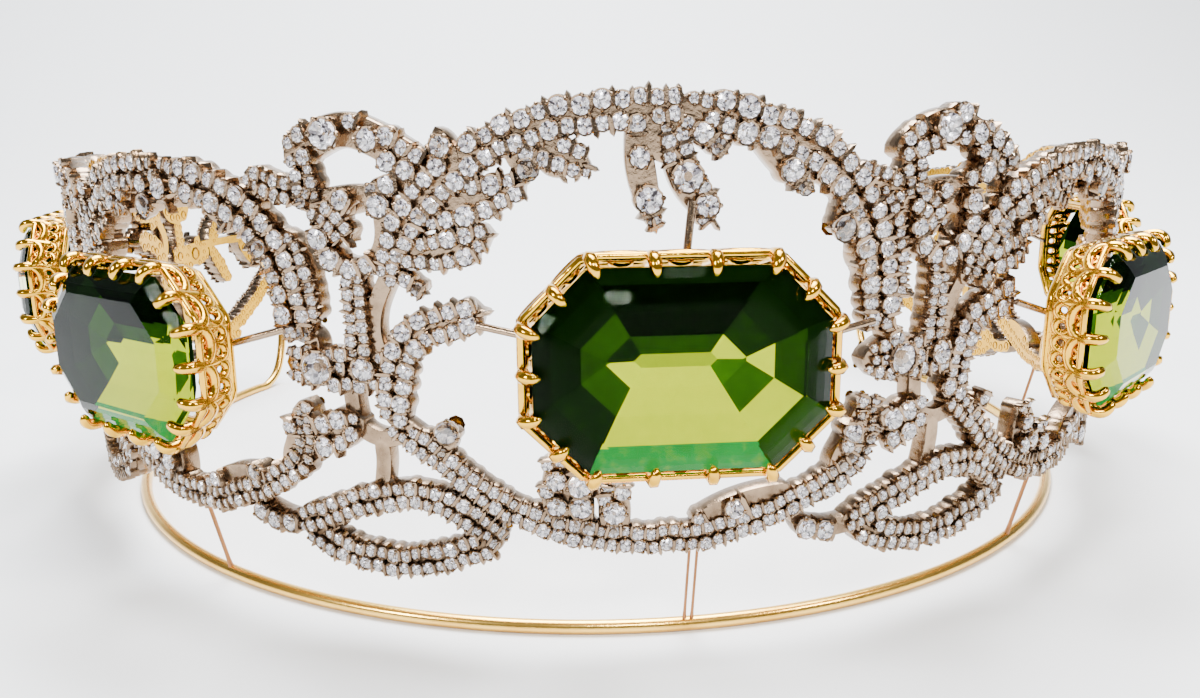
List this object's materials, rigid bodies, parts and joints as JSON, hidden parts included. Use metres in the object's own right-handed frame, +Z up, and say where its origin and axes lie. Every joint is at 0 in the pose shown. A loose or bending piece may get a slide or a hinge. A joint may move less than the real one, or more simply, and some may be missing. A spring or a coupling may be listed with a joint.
{
  "type": "tiara",
  "caption": "Open scrollwork tiara on a base wire: diamond wreaths and knots around large octagonal step-cut stones in gold claw settings, open at the back.",
  "frame": {"origin": "middle of the tiara's bounding box, on the plane that the base wire rests on", "axes": "+Z up as worn and as it stands, the front stone faces -Y, +X is to the right of someone who looks at the front stone"},
  "size_m": [0.1786, 0.137, 0.0575],
  "materials": {
    "tarnished_silver": "tarnished cast silver, satin in the hollows and bright on the beads",
    "yellow_gold": "polished yellow gold",
    "pale_gold_wire": "drawn gold wire, satin",
    "peridot": "polished step-cut facets",
    "diamond": "polished facets"
  },
  "bodies": {
    "root": {"base_frame": "pale_gold_wire", "wreath_left_back": "tarnished_silver", "setting_left_back": "yellow_gold", "peridot_left_back": "peridot", "wreath_left": "tarnished_silver", "setting_left": "yellow_gold", "peridot_left": "peridot", "wreath_front": "tarnished_silver", "setting_front": "yellow_gold", "peridot_front": "peridot", "wreath_right": "tarnished_silver", "setting_right": "yellow_gold", "peridot_right": "peridot", "wreath_right_back": "tarnished_silver", "setting_right_back": "yellow_gold", "peridot_right_back": "peridot", "front_bunch_diamond": "diamond", "end_left": "tarnished_silver", "bow_diamond_end_left": "diamond", "flower_diamond_end_left": "diamond", "knot_left_back": "tarnished_silver", "bow_diamond_knot_left_back": "diamond", "flower_diamond_knot_left_back": "diamond", "knot_left_front": "tarnished_silver", "bow_diamond_knot_left_front": "diamond", "flower_diamond_knot_left_front": "diamond", "knot_right_front": "tarnished_silver", "bow_diamond_knot_right_front": "diamond", "flower_diamond_knot_right_front": "diamond", "knot_right_back": "tarnished_silver", "bow_diamond_knot_right_back": "diamond", "flower_diamond_knot_right_back": "diamond", "end_right": "tarnished_silver", "bow_diamond_end_right": "diamond", "flower_diamond_end_right": "diamond"}
  },
  "joints": []
}
